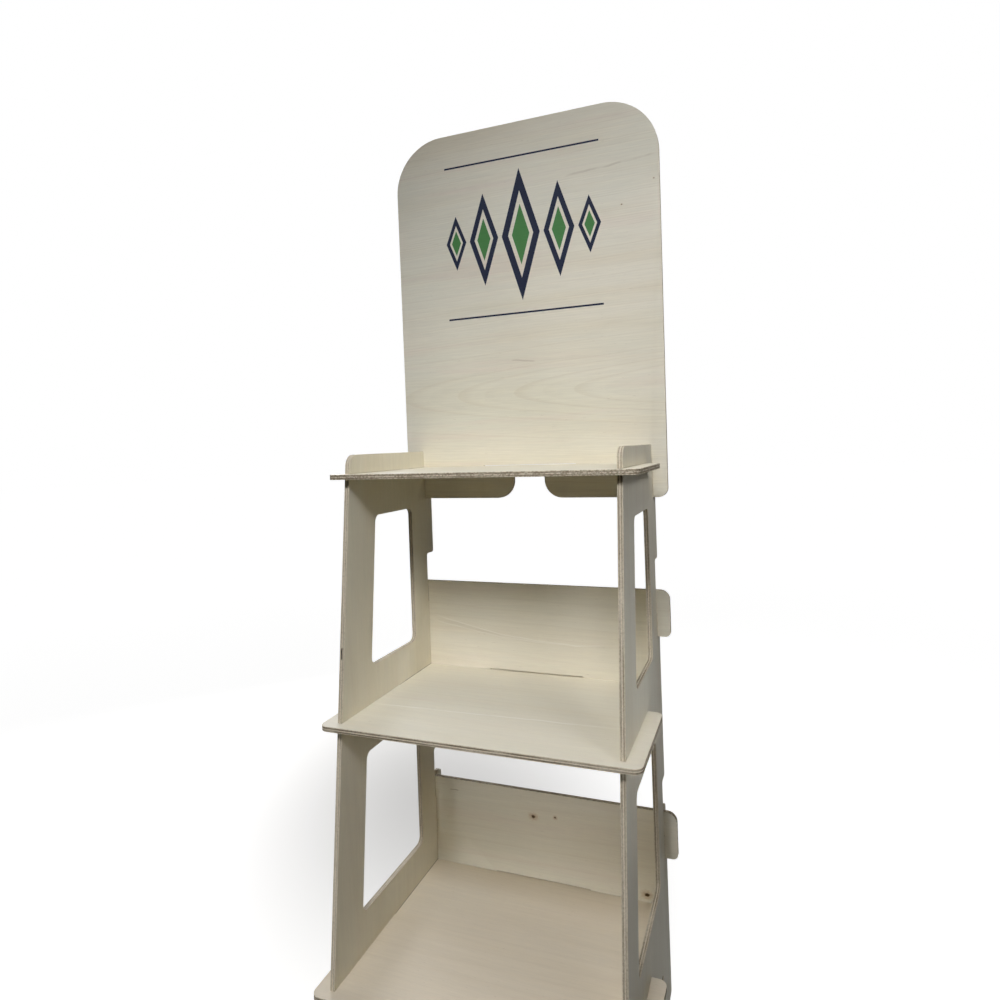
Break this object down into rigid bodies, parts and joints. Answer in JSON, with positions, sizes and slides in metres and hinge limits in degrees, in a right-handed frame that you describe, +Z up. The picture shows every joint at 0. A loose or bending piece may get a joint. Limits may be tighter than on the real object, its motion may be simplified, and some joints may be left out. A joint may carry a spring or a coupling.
{
  "type": "display stand",
  "caption": "Slot-together plywood floor stand: leaning side panels with windows hold shelves and hook-on back boards under a tall header with round corners.",
  "frame": {"origin": "on the floor under the middle of the stand's box", "axes": "+X to the stand's right seen from the front, +Y to the rear, +Z up; the open front faces -Y"},
  "size_m": [0.4928, 0.4214, 1.841],
  "materials": {
    "side_plywood": "bare sanded plywood",
    "shelf_plywood": "bare sanded plywood",
    "board_plywood": "bare sanded plywood",
    "header_plywood": "bare sanded plywood with a printed band"
  },
  "bodies": {
    "root": {"left_side_panel": "side_plywood", "right_side_panel": "side_plywood", "bottom_shelf": "shelf_plywood", "second_shelf": "shelf_plywood", "third_shelf": "shelf_plywood", "top_shelf": "shelf_plywood", "bottom_back_board": "board_plywood", "second_back_board": "board_plywood", "third_back_board": "board_plywood", "header_board": "header_plywood"}
  },
  "joints": []
}
